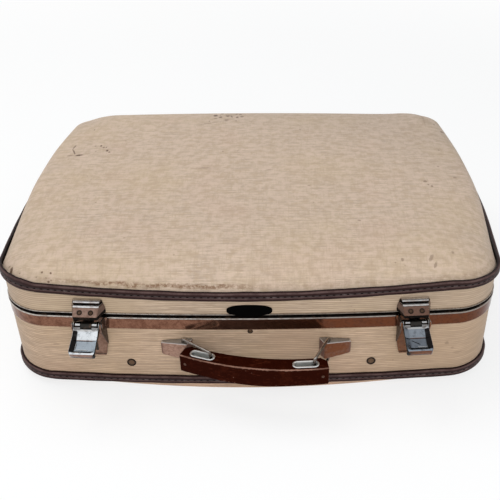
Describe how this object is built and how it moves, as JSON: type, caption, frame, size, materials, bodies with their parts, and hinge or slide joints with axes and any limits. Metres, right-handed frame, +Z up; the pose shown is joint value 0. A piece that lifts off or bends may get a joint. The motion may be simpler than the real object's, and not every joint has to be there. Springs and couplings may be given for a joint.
{
  "type": "hard-sided suitcase",
  "caption": "Vintage hard-sided suitcase with crowned cloth-covered panels, dark stitched piping, a metal rim frame, lever latches and a ring-hung leather handle.",
  "frame": {"origin": "centre of the flat rest face under the base", "axes": "+X along the width, -Y towards the handle side, +Z up from the rest face to the lid"},
  "size_m": [0.6052, 0.5353, 0.1735],
  "materials": {
    "cover": "fine ribbed cream cloth",
    "piping": "dark stitched leather",
    "rim": "polished",
    "lining": "plain woven lining",
    "badge": "dark enamel, bare",
    "stud": "dull plated",
    "hinge": "plated",
    "steel": "plain",
    "plated": "bright nickel plate, lightly worn",
    "grip": "dark polished leather"
  },
  "bodies": {
    "base": {"base_wall": "cover", "base_panel": "cover", "base_piping": "piping", "base_frame": "rim", "base_lining": "lining", "base_floor": "lining", "front_rivets": "stud", "base_feet": "stud", "hinge_left_base_leaf": "hinge", "hinge_left_pin": "steel", "hinge_right_base_leaf": "hinge", "hinge_right_pin": "steel", "latch_left_housing": "plated", "latch_left_pin": "steel", "latch_left_spring": "steel", "latch_right_housing": "plated", "latch_right_pin": "steel", "latch_right_spring": "steel", "handle_bracket_left": "plated", "handle_bracket_right": "plated"},
    "lid": {"lid_wall": "cover", "lid_panel": "cover", "lid_piping": "piping", "lid_frame": "rim", "lid_lining": "lining", "badge_plate": "badge", "lid_feet": "stud", "hinge_left_lid_leaf": "hinge", "hinge_right_lid_leaf": "hinge", "latch_left_keeper": "plated", "latch_left_rivets": "plated", "latch_right_keeper": "plated", "latch_right_rivets": "plated"},
    "latch_left": {"latch_left_lever": "plated", "latch_left_claw": "plated"},
    "latch_right": {"latch_right_lever": "plated", "latch_right_claw": "plated"},
    "bail_left": {"bail_left": "plated"},
    "bail_right": {"bail_right": "plated"},
    "handle": {"handle_grip": "grip", "handle_core": "steel", "handle_eyelets": "plated", "handle_pins": "plated"}
  },
  "joints": [
    {"name": "lid_hinge", "type": "hinge", "parent": "base", "child": "lid", "pos_m": [0, 0.2418, 0.106], "axis": [-1, 0, 0], "range_deg": [0, 100]},
    {"name": "latch_left_turn", "type": "hinge", "parent": "base", "child": "latch_left", "pos_m": [-0.18382, -0.24659, 0.102], "axis": [0.9983, -0.0583, 0], "range_deg": [-33, 65]},
    {"name": "latch_right_turn", "type": "hinge", "parent": "base", "child": "latch_right", "pos_m": [0.18781, -0.24636, 0.102], "axis": [0.9983, 0.0583, 0], "range_deg": [-28, 70]},
    {"name": "bail_left_swing", "type": "hinge", "parent": "base", "child": "bail_left", "pos_m": [-0.0784, -0.24191, 0.062], "axis": [0, 0, -1], "range_deg": [-1, 29]},
    {"name": "bail_right_swing", "type": "hinge", "parent": "base", "child": "bail_right", "pos_m": [0.0912, -0.24155, 0.062], "axis": [0, 0, 1], "range_deg": [-0.2, 3]},
    {"name": "handle_turn", "type": "hinge", "parent": "bail_right", "child": "handle", "pos_m": [0.07295, -0.27982, 0.0604], "axis": [0, 0, 1], "range_deg": [-0.3, 5.4]}
  ],
  "couplings": [
    {"joint": "bail_right_swing", "follows": "bail_left_swing", "ratio": 0.1},
    {"joint": "handle_turn", "follows": "bail_left_swing", "ratio": 0.18}
  ]
}
